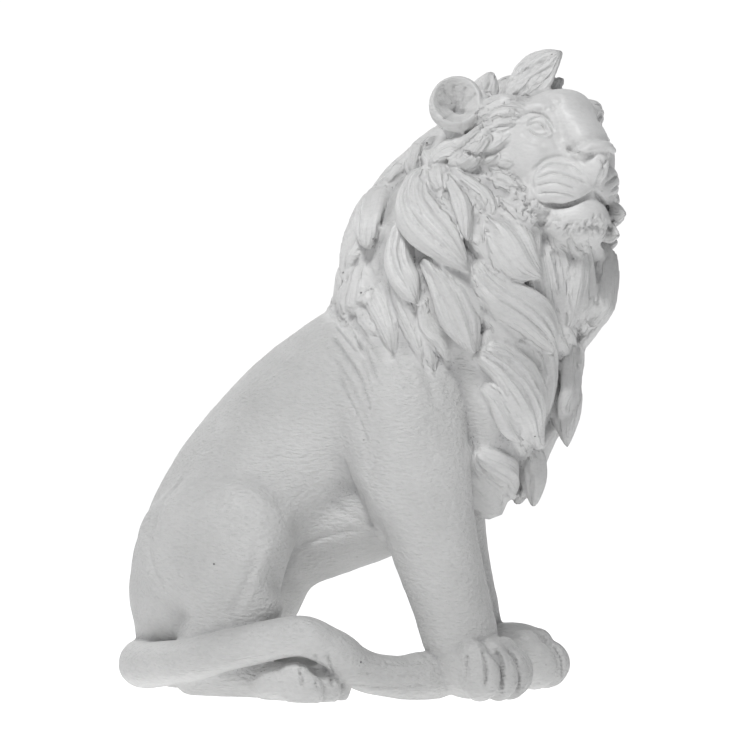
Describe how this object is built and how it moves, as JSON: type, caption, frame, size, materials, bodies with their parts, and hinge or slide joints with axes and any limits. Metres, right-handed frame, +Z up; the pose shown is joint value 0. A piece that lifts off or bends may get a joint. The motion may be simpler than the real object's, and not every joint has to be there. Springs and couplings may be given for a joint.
{
  "type": "seated lion sculpture",
  "caption": "Seated lion in white cast resin, head turned to its right, with a deep carved mane, its tail curled round one haunch; stands on its flat underside.",
  "frame": {"origin": "on the floor, under the middle of the bounding box", "axes": "+Z up; +X forward, the way the chest and paws face; +Y to the lion's left. The head is turned to the lion's right, towards -Y"},
  "size_m": [0.4126, 0.2414, 0.4988],
  "materials": {
    "white_resin": "matt white cast resin with a slight sheen on worn edges and grey in the recesses"
  },
  "bodies": {
    "root": {"lion": "white_resin"}
  },
  "joints": []
}
